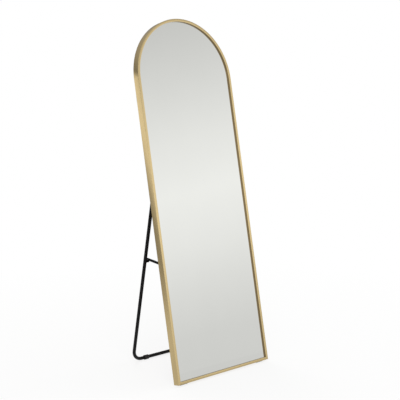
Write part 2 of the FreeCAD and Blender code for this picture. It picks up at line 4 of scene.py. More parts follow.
import bmesh
import bpy
from bpy.props import FloatProperty, FloatVectorProperty, IntProperty, PointerProperty
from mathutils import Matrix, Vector


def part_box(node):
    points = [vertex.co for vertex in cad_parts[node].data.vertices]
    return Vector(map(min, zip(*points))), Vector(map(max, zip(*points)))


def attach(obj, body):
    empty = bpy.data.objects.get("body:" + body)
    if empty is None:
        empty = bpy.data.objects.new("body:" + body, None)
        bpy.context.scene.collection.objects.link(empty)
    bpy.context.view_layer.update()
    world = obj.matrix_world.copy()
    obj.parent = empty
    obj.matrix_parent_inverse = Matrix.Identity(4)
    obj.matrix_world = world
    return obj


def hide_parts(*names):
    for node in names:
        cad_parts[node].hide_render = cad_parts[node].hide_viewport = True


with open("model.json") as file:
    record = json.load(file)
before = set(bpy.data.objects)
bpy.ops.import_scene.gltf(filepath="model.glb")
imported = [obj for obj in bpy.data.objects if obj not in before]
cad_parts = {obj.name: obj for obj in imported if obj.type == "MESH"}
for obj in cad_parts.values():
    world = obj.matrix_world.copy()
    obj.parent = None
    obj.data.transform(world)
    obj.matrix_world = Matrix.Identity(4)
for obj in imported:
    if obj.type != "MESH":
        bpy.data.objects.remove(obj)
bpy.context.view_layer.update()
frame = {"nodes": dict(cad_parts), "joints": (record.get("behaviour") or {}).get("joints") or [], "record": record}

bl_info = {
    "name": "Arched floor mirror",
    "version": (1, 0, 0),
    "blender": (4, 5, 0),
    "location": "View3D > Sidebar > Mirror",
    "description": (
        "Dresses the packed floor mirror with its gold frame, silvered pane, "
        "black stand and studio"),
    "category": "Object",
}

# Metres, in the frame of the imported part: X across, Y to the back, Z up from the floor.
# The gold frame is drawn upright in its own frame: Y = 0 is its rear face, the front is negative Y,
# and Z = 0 is its bottom edge. The stand is drawn about its hinge with its legs along -Z.


def joint_place(name):
    """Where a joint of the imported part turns."""
    return Vector(next(joint["pos_m"] for joint in frame["joints"] if joint["name"] == name))


def hanger_axis():
    """The direction that the wall hangers' keyholes face, square to the leaning mirror."""
    mounts = frame["record"]["mounts"]
    return Vector(next(mount["axis"] for mount in mounts if mount["name"] == "wall_hanger_left"))


HINGE = joint_place("stand_fold")
TUBE_LOW, TUBE_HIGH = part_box("stand_tube")
HOOP_LOW, HOOP_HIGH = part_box("frame_hoop")
BOARD_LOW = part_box("back_board")[0]
LEAN = math.atan2(-hanger_axis().z, hanger_axis().y)


class MirrorSizes(bpy.types.PropertyGroup):
    """Sizes of the pieces that are modelled here, in metres."""

    width: FloatProperty(
        name="Width", description="Outer width of the gold frame", unit="LENGTH",
        default=HOOP_HIGH.x - HOOP_LOW.x)
    height: FloatProperty(
        name="Height", description="Outer height of the gold frame along its lean", unit="LENGTH",
        default=1.650)
    lean: FloatProperty(
        name="Lean", description="Angle that the mirror leans back", subtype="ANGLE", default=LEAN)
    depth: FloatProperty(
        name="Depth", description="Frame from front to back", unit="LENGTH", default=0.035)
    face: FloatProperty(
        name="Face", description="Width of the frame's front face", unit="LENGTH", default=0.0125)
    wall: FloatProperty(
        name="Wall", description="Wall of the frame's extrusion", unit="LENGTH", default=0.0016)
    edge_round: FloatProperty(
        name="Edge round", description="Rounding of the outer edges", unit="LENGTH", default=0.0012)
    lip_depth: FloatProperty(
        name="Lip depth", description="From the front face back to the glass", unit="LENGTH",
        default=0.008)
    lip_round: FloatProperty(
        name="Lip round", description="Rounding of the lip's front edge", unit="LENGTH",
        default=0.0007)
    rib: FloatProperty(
        name="Rib", description="How far the rib behind the board reaches in", unit="LENGTH",
        default=0.009)
    flange: FloatProperty(
        name="Flange", description="How far the rear flange reaches in", unit="LENGTH",
        default=0.014)
    board_back: FloatProperty(
        name="Board back", description="Back board's rear face, in front of the frame's rear face",
        unit="LENGTH", default=0.0167)
    board_thickness: FloatProperty(
        name="Board thickness", description="Thickness of the back board", unit="LENGTH",
        default=0.004)
    board_inset: FloatProperty(
        name="Board inset", description="From the frame's outer edge to the board's edge",
        unit="LENGTH", default=0.0031)
    arch_steps: IntProperty(
        name="Arch steps", description="Facets round the arch", default=120, min=24)
    tube_radius: FloatProperty(
        name="Tube radius", description="Outer radius of the stand's tube", unit="LENGTH",
        default=0.008)
    tube_wall: FloatProperty(
        name="Tube wall", description="Wall of the stand's tube", unit="LENGTH", default=0.0012)
    tube_bend: FloatProperty(
        name="Tube bend", description="Radius of the stand's lower corners", unit="LENGTH",
        default=0.050)
    tube_top: FloatProperty(
        name="Tube top", description="From the hinge down to the tube's end", unit="LENGTH",
        default=0.016)
    tube_sides: IntProperty(
        name="Tube sides", description="Facets round the tube", default=40, min=12)
    bend_steps: IntProperty(
        name="Bend steps", description="Facets along each bend", default=20, min=6)
    weld_radius: FloatProperty(
        name="Weld radius", description="Size of the weld beads on the stand", unit="LENGTH",
        default=0.0011)


class MirrorColours(bpy.types.PropertyGroup):
    """Colours of the finishes, linear."""

    gold: FloatVectorProperty(
        name="Gold", description="Brushed gold of the frame", subtype="COLOR",
        default=(0.85, 0.67, 0.36))
    gold_deep: FloatVectorProperty(
        name="Gold in the grain", description="Deeper gold inside the brush lines", subtype="COLOR",
        default=(0.74, 0.55, 0.255))
    # Painted shade: a dark gold painted on the lip's inner face for the shade of the recess in front of the glass
    lip_painted_shade: FloatVectorProperty(
        name="Gold in the recess", description="Dull inner face of the frame's lip",
        subtype="COLOR", default=(0.28, 0.205, 0.107))
    silver: FloatVectorProperty(
        name="Silver", description="Silvering seen through the glass", subtype="COLOR",
        default=(0.905, 0.912, 0.875))
    coat: FloatVectorProperty(
        name="Black coat", description="Powder coat of the stand", subtype="COLOR",
        default=(0.0045, 0.0045, 0.0048))
    zinc: FloatVectorProperty(
        name="Zinc", description="Zinc plate of the fixings", subtype="COLOR",
        default=(0.62, 0.63, 0.64))
    board: FloatVectorProperty(
        name="Board", description="Pressed fibre of the back board", subtype="COLOR",
        default=(0.20, 0.112, 0.056))
    rubber: FloatVectorProperty(
        name="Rubber", description="Feet and setting blocks", subtype="COLOR",
        default=(0.022, 0.022, 0.022))
    film: FloatVectorProperty(
        name="Film", description="Safety film behind the glass", subtype="COLOR",
        default=(0.36, 0.38, 0.40))
    foam: FloatVectorProperty(
        name="Foam", description="Foam sheet in front of the back board", subtype="COLOR",
        default=(0.80, 0.80, 0.78))
    nylon: FloatVectorProperty(
        name="Nylon", description="Washers of the hinges", subtype="COLOR",
        default=(0.74, 0.73, 0.68))


class StageSettings(bpy.types.PropertyGroup):
    """The camera of the photograph and the light round the mirror."""

    azimuth: FloatProperty(
        name="Azimuth", description="Camera turned to the mirror's left", subtype="ANGLE",
        default=math.radians(41.11))
    elevation: FloatProperty(
        name="Elevation", description="Camera above its target", subtype="ANGLE",
        default=math.radians(7.579))
    distance: FloatProperty(
        name="Distance", description="Camera to its target", unit="LENGTH", default=3.692)
    target: FloatVectorProperty(
        name="Target", description="Point in the middle of the picture",
        subtype="XYZ", unit="LENGTH", default=(-0.127, -0.1764, 0.817))
    lens: FloatProperty(
        name="Lens", description="Focal length on a 36 mm sensor, in millimetres", default=75.2)
    floor_radius: FloatProperty(
        name="Floor radius", description="Size of the pale floor", unit="LENGTH", default=2.6)
    floor_colour: FloatVectorProperty(
        name="Floor colour", description="Pale floor", subtype="COLOR", default=(0.80, 0.80, 0.79))
    floor_lift: FloatProperty(
        name="Floor lift", description="Share of plain white in the floor round the mirror",
        subtype="FACTOR", default=0.82, min=0, max=1)


def sizes():
    """The sizes set for this scene."""
    return bpy.context.scene.mirror_sizes


def colours():
    """The colours set for this scene."""
    return bpy.context.scene.mirror_colours


# Modelling by hand, in code

# Metres below which two points become one, facets of a rounded edge, and the sharpest edge
# in degrees that each piece smooths over
MERGE_DISTANCE = 1e-6
ROUND_SEGMENTS = 4
FRAME_SMOOTH_DEGREES = 28
TUBE_SMOOTH_DEGREES = 40
WELD_SMOOTH_DEGREES = 80


def deselect_all():
    """Leave edit mode and let go of every object."""
    if bpy.context.object and bpy.context.object.mode != "OBJECT":
        bpy.ops.object.mode_set(mode="OBJECT")
    bpy.ops.object.select_all(action="DESELECT")


def middle_of(element):
    """The middle of a vertex, an edge or a face of an edited mesh."""
    if isinstance(element, bmesh.types.BMVert):
        return element.co
    return sum((corner.co for corner in element.verts), Vector()) / len(element.verts)


def select_where(piece, test, kind="VERT"):
    """In edit mode, select only the vertices, edges or faces whose middle passes a test."""
    bpy.ops.mesh.select_all(action="DESELECT")
    bpy.ops.mesh.select_mode(type=kind)
    mesh = bmesh.from_edit_mesh(piece.data)
    for element in {"VERT": mesh.verts, "EDGE": mesh.edges, "FACE": mesh.faces}[kind]:
        element.select_set(test(middle_of(element)))
    mesh.select_flush_mode()
    bmesh.update_edit_mesh(piece.data)


def open_mesh():
    """Put a new primitive's place into its mesh and edit it, with all its vertices selected."""
    bpy.ops.object.transform_apply(location=True, rotation=True, scale=True)
    bpy.ops.object.mode_set(mode="EDIT")
    bpy.ops.mesh.select_mode(type="VERT")
    bpy.ops.mesh.select_all(action="SELECT")


def extrude(step):
    """Extrude what is selected by one step."""
    bpy.ops.mesh.extrude_region_move(TRANSFORM_OT_translate={"value": tuple(step)})


def close_up(smooth_degrees):
    """Merge doubles, turn the faces outwards and smooth the gentle edges."""
    bpy.ops.object.mode_set(mode="EDIT")
    bpy.ops.mesh.select_all(action="SELECT")
    bpy.ops.mesh.remove_doubles(threshold=MERGE_DISTANCE)
    bpy.ops.mesh.normals_make_consistent(inside=False)
    bpy.ops.object.mode_set(mode="OBJECT")
    bpy.ops.object.shade_smooth_by_angle(angle=math.radians(smooth_degrees))


def set_in_place(piece, turn, place):
    """Turn a piece about X and move it, then put that into its mesh."""
    piece.rotation_euler = (turn, 0, 0)
    piece.location = place
    bpy.ops.object.transform_apply(location=True, rotation=True, scale=True)


def hand_over(piece, name, body, material, nodes=()):
    """Name a finished piece, give it its finish and let it ride on its body."""
    piece.name = name
    piece.data.name = name
    piece.data.materials.clear()
    piece.data.materials.append(material)
    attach(piece, body)
    for node in nodes:
        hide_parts(node)
    deselect_all()


def dress(names, material):
    """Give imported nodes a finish."""
    for name in names:
        node = frame["nodes"][name]
        node.data.materials.clear()
        node.data.materials.append(material)


def both(name):
    """The left and the right node of a pair."""
    return [name + "_left", name + "_right"]


def mirror_origin():
    """The middle of the frame's bottom rear edge, found from the back board's corners."""
    size = sizes()
    front = -size.board_back - size.board_thickness
    low_y = front * math.cos(size.lean) + size.board_inset * math.sin(size.lean)
    low_z = size.board_back * math.sin(size.lean) + size.board_inset * math.cos(size.lean)
    return Vector((0, BOARD_LOW.y - low_y, BOARD_LOW.z - low_z))


def arch_middle():
    """The arch's centre on the frame's rear face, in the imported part's frame."""
    size = sizes()
    height = size.height - size.width / 2
    return mirror_origin() + Vector((0, height * math.sin(size.lean), height * math.cos(size.lean)))


# Finishes

# Most values of a noise lie between these
NOISE_LOW, NOISE_HIGH = 0.3, 0.7
# Brush marks of the gold per metre on each axis, Z along the brush, and the fine marks' share
FINE_BRUSH = (4200, 4200, 40)
COARSE_BRUSH = (1500, 1500, 14)
FINE_SHARE = 0.75
# The grain values at which the deep gold ends and the bright gold starts
DEEP_GRAIN, BRIGHT_GRAIN = 0.36, 0.56
# Waves and haze of the glass, per metre on each axis
GLASS_WAVE = (2, 2, 5)
GLASS_HAZE = (6, 6, 3)
# How strongly the black coat mirrors light
COAT_SPECULAR = 0.24
# Fibres of the back board per metre on each axis, and the shares of matting and fibres
UPRIGHT_FIBRES = (950, 950, 160)
LYING_FIBRES = (180, 900, 900)
MAT_SHARE, WEAVE_SHARE = 0.4, 0.6
# Shades of the back board's colour by its grain
BOARD_SHADES = [(0.36, 0.75), (0.5, 1.0), (0.64, 1.22)]
# How much finer a moulded skin is than its speckles
SKIN_FINENESS = 4


def new_material(name, metallic=0.0, roughness=0.5):
    """A new material with its node tree and its main shader."""
    material = bpy.data.materials.new(name)
    material.use_nodes = True
    tree = material.node_tree
    shader = tree.nodes["Principled BSDF"]
    shader.inputs["Metallic"].default_value = metallic
    shader.inputs["Roughness"].default_value = roughness
    return material, tree, shader


def add_node(tree, kind, inputs=None, **settings):
    """A node with its settings, its plain inputs filled in and its linked inputs joined up."""
    node = tree.nodes.new(kind)
    for key, value in settings.items():
        setattr(node, key, value)
    for key, value in (inputs or {}).items():
        if isinstance(value, bpy.types.NodeSocket):
            tree.links.new(value, node.inputs[key])
        else:
            node.inputs[key].default_value = value
    return node


def math_node(tree, operation, *values):
    """The result of one sum; values are numbers or sockets."""
    node = add_node(tree, "ShaderNodeMath", dict(enumerate(values)), operation=operation)
    return node.outputs[0]


def object_place(tree):
    """Where a point lies in its object, in metres."""
    return add_node(tree, "ShaderNodeTexCoord").outputs["Object"]


def scaled(tree, vector, scale):
    """A vector times a scale on each axis."""
    values = {0: vector, 1: scale}
    return add_node(tree, "ShaderNodeVectorMath", values, operation="MULTIPLY").outputs[0]


def noise(tree, vector, scale=1.0, detail=3.0, roughness=0.5):
    """A soft noise with so many spots per metre."""
    values = {"Vector": vector, "Scale": scale, "Detail": detail, "Roughness": roughness}
    return add_node(tree, "ShaderNodeTexNoise", values).outputs["Fac"]


def ramp(tree, factor, stops):
    """Colours by a factor; stops are (position, colour)."""
    node = add_node(tree, "ShaderNodeValToRGB", {"Fac": factor})
    elements = node.color_ramp.elements
    while len(elements) < len(stops):
        elements.new(0.5)
    for element, (position, colour) in zip(elements, stops):
        element.position = position
        element.color = (*colour, 1)
    return node.outputs["Color"]


def spread(tree, factor, low, high, from_low=NOISE_LOW, from_high=NOISE_HIGH):
    """A factor mapped onto a range of values."""
    values = {
        "Value": factor, "From Min": from_low, "From Max": from_high, "To Min": low, "To Max": high}
    return add_node(tree, "ShaderNodeMapRange", values).outputs["Result"]


def blend_colours(tree, factor, first, second):
    """The first colour where a factor is 0, the second where it is 1."""
    return add_node(tree, "ShaderNodeMixRGB", {0: factor, 1: first, 2: second}).outputs[0]


def bump(tree, shader, height, strength, distance):
    """Raise a finish by a height; the distance is in metres."""
    values = {"Height": height, "Strength": strength, "Distance": distance}
    node = add_node(tree, "ShaderNodeBump", values)
    tree.links.new(node.outputs["Normal"], shader.inputs["Normal"])


def shade(colour, factor):
    """A colour made darker or lighter."""
    return tuple(channel * factor for channel in colour)


def grey(tone):
    """A colour with one value in all its channels."""
    return (tone, tone, tone)


def mottle(tree, shader, factor, colour, shades, roughness):
    """Let a noise move a finish between two shades of its colour and two roughnesses."""
    low, high = shades
    stops = [(NOISE_LOW, shade(colour, low)), (NOISE_HIGH, shade(colour, high))]
    tree.links.new(ramp(tree, factor, stops), shader.inputs["Base Color"])
    tree.links.new(spread(tree, factor, *roughness), shader.inputs["Roughness"])


def brush_lines(tree, along_arch):
    """Coordinates with the brush along Z: round the hoop's arch, or straight along the rail."""
    size = sizes()
    values = {
        "Vector": object_place(tree), "Location": arch_middle(), "Rotation": (-size.lean, 0, 0)}
    mapping = add_node(tree, "ShaderNodeMapping", values, vector_type="TEXTURE")
    split = add_node(tree, "ShaderNodeSeparateXYZ", {0: mapping.outputs[0]})
    x, y, z = split.outputs
    if not along_arch:
        return add_node(tree, "ShaderNodeCombineXYZ", {0: z, 1: y, 2: x}).outputs[0]
    side = math_node(tree, "ABSOLUTE", x)
    above = math_node(tree, "MAXIMUM", z, 0.0)
    below = math_node(tree, "MINIMUM", z, 0.0)
    squares = math_node(
        tree, "ADD", math_node(tree, "MULTIPLY", x, x), math_node(tree, "MULTIPLY", above, above))
    across = math_node(tree, "SQRT", squares)
    turn = math_node(tree, "ARCTAN2", above, side)
    round_arch = math_node(tree, "MULTIPLY", turn, size.width / 2)
    along = math_node(tree, "ADD", round_arch, below)
    return add_node(tree, "ShaderNodeCombineXYZ", {0: across, 1: y, 2: along}).outputs[0]


def painted_lip_shade_mask(tree, lines, along_arch):
    """1 on the lip's inner face, where the recess in front of the glass gets a painted shade, and 0 elsewhere."""
    size = sizes()
    near = size.lip_round
    half = size.width / 2
    across, depth = add_node(tree, "ShaderNodeSeparateXYZ", {0: lines}).outputs[:2]
    if along_arch:
        inner = math_node(tree, "LESS_THAN", across, half - size.face + near)
    else:
        inner = math_node(tree, "GREATER_THAN", across, size.face - near - (size.height - half))
    behind_face = math_node(tree, "GREATER_THAN", depth, near - size.depth)
    return math_node(tree, "MULTIPLY", inner, behind_face)


def brushed_gold(name, along_arch):
    """Satin gold with brush lines that follow the frame, and a painted shade on the lip's inner face."""
    material, tree, shader = new_material(name, metallic=1.0)
    lines = brush_lines(tree, along_arch)
    fine = noise(tree, scaled(tree, lines, FINE_BRUSH), detail=4.0, roughness=0.6)
    coarse = noise(tree, scaled(tree, lines, COARSE_BRUSH), detail=2.0)
    cloud = noise(tree, lines, scale=7.0, detail=2.0)
    fine_part = math_node(tree, "MULTIPLY", fine, FINE_SHARE)
    grain = math_node(tree, "MULTIPLY_ADD", coarse, 1 - FINE_SHARE, fine_part)
    colour = colours()
    tint = ramp(tree, grain, [(DEEP_GRAIN, colour.gold_deep), (BRIGHT_GRAIN, colour.gold)])
    # Painted shade: the lip's inner face is darkened to stand in for the shade of the recess
    painted_shade = painted_lip_shade_mask(tree, lines, along_arch)
    shaded = blend_colours(tree, painted_shade, tint, (*colour.lip_painted_shade, 1))
    tree.links.new(shaded, shader.inputs["Base Color"])
    by_grain = spread(tree, grain, low=0.21, high=0.14)
    by_cloud = spread(tree, cloud, low=-0.02, high=0.02)
    tree.links.new(math_node(tree, "ADD", by_grain, by_cloud), shader.inputs["Roughness"])
    bump(tree, shader, grain, strength=0.06, distance=0.0002)
    return material


def silvered_glass():
    """A mirror with a faint roller wave and the haze of a wiped surface."""
    material, tree, shader = new_material("silvered_glass", metallic=1.0)
    place = object_place(tree)
    haze = noise(tree, scaled(tree, place, GLASS_HAZE), detail=4.0)
    mottle(tree, shader, haze, colours().silver, shades=(0.985, 1.0), roughness=(0.012, 0.03))
    wave = noise(tree, scaled(tree, place, GLASS_WAVE), detail=1.0)
    bump(tree, shader, wave, strength=0.02, distance=0.002)
    return material


def satin_black(name, peel_scale=900.0, roughness=(0.34, 0.46)):
    """Satin black powder coat with a fine orange peel."""
    material, tree, shader = new_material(name)
    shader.inputs["Specular IOR Level"].default_value = COAT_SPECULAR
    place = object_place(tree)
    patches = noise(tree, place, scale=40.0, detail=3.0)
    mottle(tree, shader, patches, colours().coat, shades=(0.8, 1.2), roughness=roughness)
    peel = noise(tree, place, scale=peel_scale, detail=2.0)
    bump(tree, shader, peel, strength=0.25, distance=0.00025)
    return material


def zinc_plate(name):
    """Bright zinc with soft spangles and handling marks."""
    material, tree, shader = new_material(name, metallic=1.0)
    place = object_place(tree)
    spangle = noise(tree, place, scale=320.0, detail=4.0)
    mottle(tree, shader, spangle, colours().zinc, shades=(0.82, 1.1), roughness=(0.42, 0.28))
    marks = noise(tree, place, scale=2200.0, detail=2.0)
    bump(tree, shader, marks, strength=0.1, distance=0.0001)
    return material


def pressed_fibre():
    """Brown hardboard with matted fibres, darker and paler from spot to spot."""
    material, tree, shader = new_material("pressed_fibre")
    place = object_place(tree)
    mat = noise(tree, place, scale=55.0, detail=6.0, roughness=0.62)
    upright = noise(tree, scaled(tree, place, UPRIGHT_FIBRES), detail=4.0)
    lying = noise(tree, scaled(tree, place, LYING_FIBRES), detail=4.0)
    weave = math_node(tree, "MULTIPLY", math_node(tree, "ADD", upright, lying), 0.5)
    weave_part = math_node(tree, "MULTIPLY", weave, WEAVE_SHARE)
    grain = math_node(tree, "MULTIPLY_ADD", mat, MAT_SHARE, weave_part)
    stops = [(level, shade(colours().board, factor)) for level, factor in BOARD_SHADES]
    tree.links.new(ramp(tree, grain, stops), shader.inputs["Base Color"])
    tree.links.new(spread(tree, mat, low=0.62, high=0.82), shader.inputs["Roughness"])
    bump(tree, shader, weave, strength=0.35, distance=0.0006)
    return material


def speckled(name, colour, scale, roughness, contrast, bump_strength):
    """A plain moulded finish: rubber, nylon, foam or film, with its own fine mottling."""
    material, tree, shader = new_material(name)
    place = object_place(tree)
    speckles = noise(tree, place, scale, detail=4.0)
    mottle(tree, shader, speckles, colour, (1 - contrast, 1 + contrast), roughness)
    skin = noise(tree, place, scale=scale * SKIN_FINENESS, detail=2.0)
    bump(tree, shader, skin, bump_strength, distance=0.0003)
    return material


# The gold frame


def frame_section():
    """Corners of the extrusion's section, as (inward from the outer edge, behind the rear face)."""
    size = sizes()
    rib_back = size.wall - size.board_back
    glass_front = size.lip_depth - size.depth
    inner_face = size.face - size.wall
    face_back = size.wall - size.depth
    return [
        (0, 0), (0, -size.depth), (size.face, -size.depth), (size.face, glass_front),
        (inner_face, glass_front), (inner_face, face_back), (size.wall, face_back),
        (size.wall, -size.board_back), (size.rib, -size.board_back), (size.rib, rib_back),
        (size.wall, rib_back), (size.wall, -size.wall), (size.flange, -size.wall), (size.flange, 0),
    ]


def one_spot():
    """Points of the section that are nearer than this are one and the same."""
    return sizes().wall / 4


def draw_section(place):
    """Draw the section as a closed loop, point by point, and round its three outer edges."""
    size = sizes()
    points = [place(inward, behind) for inward, behind in frame_section()]
    deselect_all()
    bpy.ops.mesh.primitive_plane_add(size=size.wall, location=points[0])
    piece = bpy.context.object
    open_mesh()
    bpy.ops.mesh.merge(type="CENTER")
    for before, after in zip(points, points[1:]):
        bpy.ops.mesh.extrude_vertices_move(TRANSFORM_OT_translate={"value": tuple(after - before)})
    near = one_spot()
    ends = (points[0], points[-1])
    select_where(piece, lambda co: min((co - end).length for end in ends) < near)
    bpy.ops.mesh.edge_face_add()
    for corner, radius in ((0, size.edge_round), (1, size.edge_round), (2, size.lip_round)):
        select_where(piece, lambda co: (co - points[corner]).length < near)
        bpy.ops.mesh.bevel(offset=radius, segments=ROUND_SEGMENTS, affect="VERTICES")
    bpy.ops.mesh.select_all(action="SELECT")
    return piece


def cut_mitre(piece, side, keep_above):
    """Cut one lower corner at 45 degrees and keep the hoop's side or the rail's side of the cut."""
    half = sizes().width / 2
    away = 1 if keep_above else -1
    select_where(piece, lambda co: co.x * side > 0, "FACE")
    bpy.ops.mesh.bisect(
        plane_co=(side * half, 0, 0), plane_no=(-side * away, 0, -away), use_fill=True,
        clear_outer=True)


def build_hoop():
    """Both sides and the arch: the section is spun over the top, then drawn down to the mitres."""
    size = sizes()
    half = size.width / 2
    centre = size.height - half
    piece = draw_section(lambda inward, behind: Vector((inward - half, behind, centre)))
    bpy.ops.mesh.spin(steps=size.arch_steps, angle=math.pi, center=(0, 0, centre), axis=(0, -1, 0))
    near = one_spot()
    for side in (-1, 1):
        select_where(piece, lambda co: co.x * side > 0 and abs(co.z - centre) < near, "EDGE")
        extrude((0, 0, -centre))
        cut_mitre(piece, side, keep_above=True)
    return piece


def build_rail():
    """The straight length across the bottom, mitred at both ends."""
    half = sizes().width / 2
    piece = draw_section(lambda inward, behind: Vector((-half, behind, inward)))
    # Drawn as two halves, so that each end can be cut by itself
    extrude((half, 0, 0))
    extrude((half, 0, 0))
    for side in (-1, 1):
        cut_mitre(piece, side, keep_above=False)
    return piece


class MIRROR_OT_gold_frame(bpy.types.Operator):
    """Model the brushed gold hoop and bottom rail"""

    bl_idname = "mirror.gold_frame"
    bl_label = "Gold frame"

    def execute(self, context):
        for name, node, build in (
                ("gold_hoop", "frame_hoop", build_hoop),
                ("gold_bottom_rail", "frame_bottom_rail", build_rail)):
            piece = build()
            close_up(FRAME_SMOOTH_DEGREES)
            set_in_place(piece, -sizes().lean, mirror_origin())
            finish = brushed_gold("brushed_" + name, along_arch=name == "gold_hoop")
            hand_over(piece, name, "mirror", finish, [node])
        return {"FINISHED"}


class MIRROR_OT_pane(bpy.types.Operator):
    """Finish the glass, film, foam, back board and setting blocks"""

    bl_idname = "mirror.pane"
    bl_label = "Pane"

    def execute(self, context):
        dress(["mirror_glass"], silvered_glass())
        dress(["back_board"], pressed_fibre())
        dress(["safety_film"], speckled(
            "grey_film", colours().film,
            scale=90.0, roughness=(0.35, 0.5), contrast=0.06, bump_strength=0.05))
        dress(["foam_sheet"], speckled(
            "white_foam", colours().foam,
            scale=500.0, roughness=(0.8, 0.95), contrast=0.08, bump_strength=0.5))
        dress(["setting_blocks"], speckled(
            "setting_rubber", colours().rubber,
            scale=400.0, roughness=(0.7, 0.85), contrast=0.2, bump_strength=0.3))
        return {"FINISHED"}


# The stand

# Facets of a weld drop, its thickness across the joint as a share of its width, the share of the
# seat's depth that is welded, and how far a drop follows the tube as it curves away from the seat
WELD_SEGMENTS, WELD_RINGS = 10, 6
WELD_FLATNESS = 0.85
WELD_REACH = 0.45
WELD_SINK = 0.5


def stand_leg():
    """Half the leg spacing, a leg's length along its slope and that slope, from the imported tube."""
    radius = sizes().tube_radius
    run = TUBE_HIGH.y - radius - HINGE.y
    drop = HINGE.z - TUBE_LOW.z - radius
    return TUBE_HIGH.x - radius, math.hypot(run, drop), math.atan2(run, drop)


def build_tube():
    """The bent tube: a ring drawn down the left leg, round both bends and up the right leg."""
    size = sizes()
    half, length, slope = stand_leg()
    bend_top = size.tube_bend - length
    deselect_all()
    bpy.ops.mesh.primitive_circle_add(
        vertices=size.tube_sides, radius=size.tube_radius, location=(-half, 0, -size.tube_top))
    piece = bpy.context.object
    open_mesh()
    straight = length - size.tube_bend - size.tube_top
    extrude((0, 0, -straight))
    turn = {"steps": size.bend_steps, "angle": math.pi / 2, "axis": (0, 1, 0)}
    bpy.ops.mesh.spin(center=(size.tube_bend - half, 0, bend_top), **turn)
    extrude((2 * (half - size.tube_bend), 0, 0))
    bpy.ops.mesh.spin(center=(half - size.tube_bend, 0, bend_top), **turn)
    extrude((0, 0, straight))
    close_up(TUBE_SMOOTH_DEGREES)
    bpy.ops.object.modifier_add(type="SOLIDIFY")
    piece.modifiers[-1].thickness = size.tube_wall
    piece.modifiers[-1].offset = -1
    bpy.ops.object.modifier_apply(modifier=piece.modifiers[-1].name)
    set_in_place(piece, slope, HINGE)
    return piece


def weld_drop():
    """One drop of weld metal at the origin, a little flattened across the joint."""
    deselect_all()
    bpy.ops.mesh.primitive_uv_sphere_add(
        segments=WELD_SEGMENTS, ring_count=WELD_RINGS, radius=sizes().weld_radius,
        location=(0, 0, 0))
    drop = bpy.context.object
    open_mesh()
    bpy.ops.transform.resize(value=(WELD_FLATNESS, 1, 1), center_override=(0, 0, 0))
    bpy.ops.object.mode_set(mode="OBJECT")
    return drop


def build_welds(side_name, side):
    """Weld beads where a seat meets its leg: drops along the seat's top, front and bottom."""
    size = sizes()
    low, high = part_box("stay_catch_" + side_name)
    half, _, slope = stand_leg()
    pitch = size.weld_radius
    edge_x = side * (half - size.tube_radius)
    front = low.y + size.weld_radius
    back = front + WELD_REACH * (high.y - low.y)
    spots = []
    steps = int((back - front) / pitch)
    for step in range(steps + 1):
        y = front + step * pitch
        spots += [(y, high.z), (y, low.z)]
    rise = int((high.z - low.z) / pitch)
    for step in range(1, rise):
        spots.append((low.y, low.z + step * pitch))
    drops = [weld_drop()]
    while len(drops) < len(spots):
        bpy.ops.object.duplicate()
        drops.append(bpy.context.object)
    for drop, (y, z) in zip(drops, spots):
        middle = HINGE.y + (HINGE.z - z) * math.tan(slope)
        sink = size.tube_radius - math.sqrt(max(size.tube_radius ** 2 - (y - middle) ** 2, 0))
        drop.location = (edge_x + side * sink * WELD_SINK, y, z)
        drop.select_set(True)
    bpy.context.view_layer.objects.active = drops[0]
    bpy.ops.object.join()
    bpy.ops.object.transform_apply(location=True, rotation=True, scale=True)
    return bpy.context.object


class MIRROR_OT_stand(bpy.types.Operator):
    """Model the bent tube and its welds, and finish the lugs and seats"""

    bl_idname = "mirror.stand"
    bl_label = "Stand"

    def execute(self, context):
        coat = satin_black("black_coat")
        hand_over(build_tube(), "stand_bent_tube", "stand", coat, ["stand_tube"])
        for side_name, side in (("left", -1), ("right", 1)):
            weld = build_welds(side_name, side)
            close_up(WELD_SMOOTH_DEGREES)
            hand_over(weld, "seat_weld_" + side_name, "stand", coat)
        dress(both("leg_lug") + both("stay_catch"), coat)
        return {"FINISHED"}


class MIRROR_OT_stays(bpy.types.Operator):
    """Finish the stay rods, their pegs and brackets"""

    bl_idname = "mirror.stays"
    bl_label = "Stay rods"

    def execute(self, context):
        dress(both("stay_rod") + both("stay_bracket"), satin_black("black_rod_coat"))
        dress(both("stay_peg") + ["stay_pins"], zinc_plate("zinc_pins"))
        return {"FINISHED"}


class MIRROR_OT_rear_hardware(bpy.types.Operator):
    """Finish the cross rails, hinge brackets, corner keys and hangers"""

    bl_idname = "mirror.rear_hardware"
    bl_label = "Rear hardware"

    def execute(self, context):
        coat = satin_black("black_rail_coat", peel_scale=700.0)
        dress(["upper_cross_rail", "lower_cross_rail"] + both("hinge_bracket"), coat)
        dress(both("corner_key") + both("hanger_plate"), zinc_plate("zinc_plates"))
        return {"FINISHED"}


class MIRROR_OT_fasteners(bpy.types.Operator):
    """Finish the screws, bolts, nuts, washers and pins"""

    bl_idname = "mirror.fasteners"
    bl_label = "Fasteners"

    def execute(self, context):
        plated = ["corner_screws", "rail_screws", "hanger_screws", "frame_foot_screws"]
        dress(plated + ["hinge_bolts", "hinge_nuts", "lug_pins"], zinc_plate("zinc_fasteners"))
        black = satin_black("black_screw", peel_scale=1500.0, roughness=(0.28, 0.4))
        dress(["hinge_bracket_screws", "stay_bracket_screws"], black)
        dress(["hinge_washers"], speckled(
            "natural_nylon", colours().nylon,
            scale=300.0, roughness=(0.35, 0.5), contrast=0.05, bump_strength=0.1))
        return {"FINISHED"}


class MIRROR_OT_feet(bpy.types.Operator):
    """Finish the rubber feet of the frame and the stand"""

    bl_idname = "mirror.feet"
    bl_label = "Rubber feet"

    def execute(self, context):
        rubber = speckled(
            "black_rubber", colours().rubber,
            scale=350.0, roughness=(0.7, 0.88), contrast=0.25, bump_strength=0.35)
        dress(both("stand_foot") + both("frame_foot"), rubber)
        return {"FINISHED"}


# The stage

WHITE = (1, 1, 1, 1)
